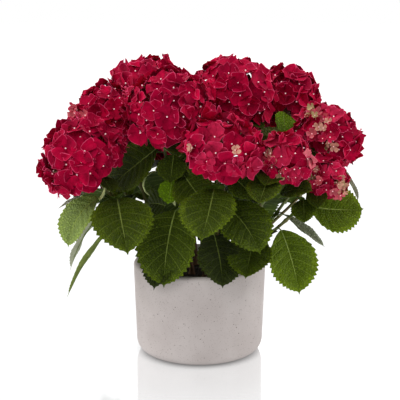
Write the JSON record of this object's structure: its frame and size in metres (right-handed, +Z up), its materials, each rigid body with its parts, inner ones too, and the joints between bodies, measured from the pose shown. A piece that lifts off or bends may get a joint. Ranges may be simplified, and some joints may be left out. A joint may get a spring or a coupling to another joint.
{
  "type": "hydrangea shrub in a pot",
  "caption": "Mophead hydrangea with crimson flower heads and serrate green leaves, in a round light grey concrete pot.",
  "frame": {"origin": "centre of the pot's flat underside", "axes": "+Z up, -Y towards the side the plant is seen from, +X to the right from there"},
  "size_m": [0.5307, 0.4969, 0.4871],
  "materials": {
    "concrete": "matte cast concrete with fine pores and specks",
    "compost": "dark crumbly compost",
    "bark": "thin light brown bark",
    "leaf": "satin green leaf with paler veins",
    "sepals": "soft crimson sepals"
  },
  "bodies": {
    "root": {"pot": "concrete", "soil": "compost", "cane_front": "bark", "cane_front_right": "bark", "cane_centre_left": "bark", "cane_left": "bark", "cane_low_right": "bark", "cane_right": "bark", "cane_top_right": "bark", "cane_left_back": "bark", "cane_right_back": "bark", "cane_top_left": "bark", "cane_back_left": "bark", "cane_back": "bark", "cane_back_right": "bark", "cane_right_rear": "bark", "foliage_front": "leaf", "foliage_front_right": "leaf", "foliage_centre_left": "leaf", "foliage_left": "leaf", "foliage_low_right": "leaf", "foliage_right": "leaf", "foliage_top_right": "leaf", "foliage_left_back": "leaf", "foliage_right_back": "leaf", "foliage_top_left": "leaf", "foliage_back_left": "leaf", "foliage_back": "leaf", "foliage_back_right": "leaf", "foliage_right_rear": "leaf", "bloom_front": "sepals", "bloom_front_right": "sepals", "bloom_centre_left": "sepals", "bloom_left": "sepals", "bloom_low_right": "sepals", "bloom_right": "sepals", "bloom_top_right": "sepals", "bloom_left_back": "sepals", "bloom_right_back": "sepals", "bloom_top_left": "sepals", "bloom_back_left": "sepals", "bloom_back": "sepals", "bloom_back_right": "sepals", "bloom_right_rear": "sepals"}
  },
  "joints": []
}
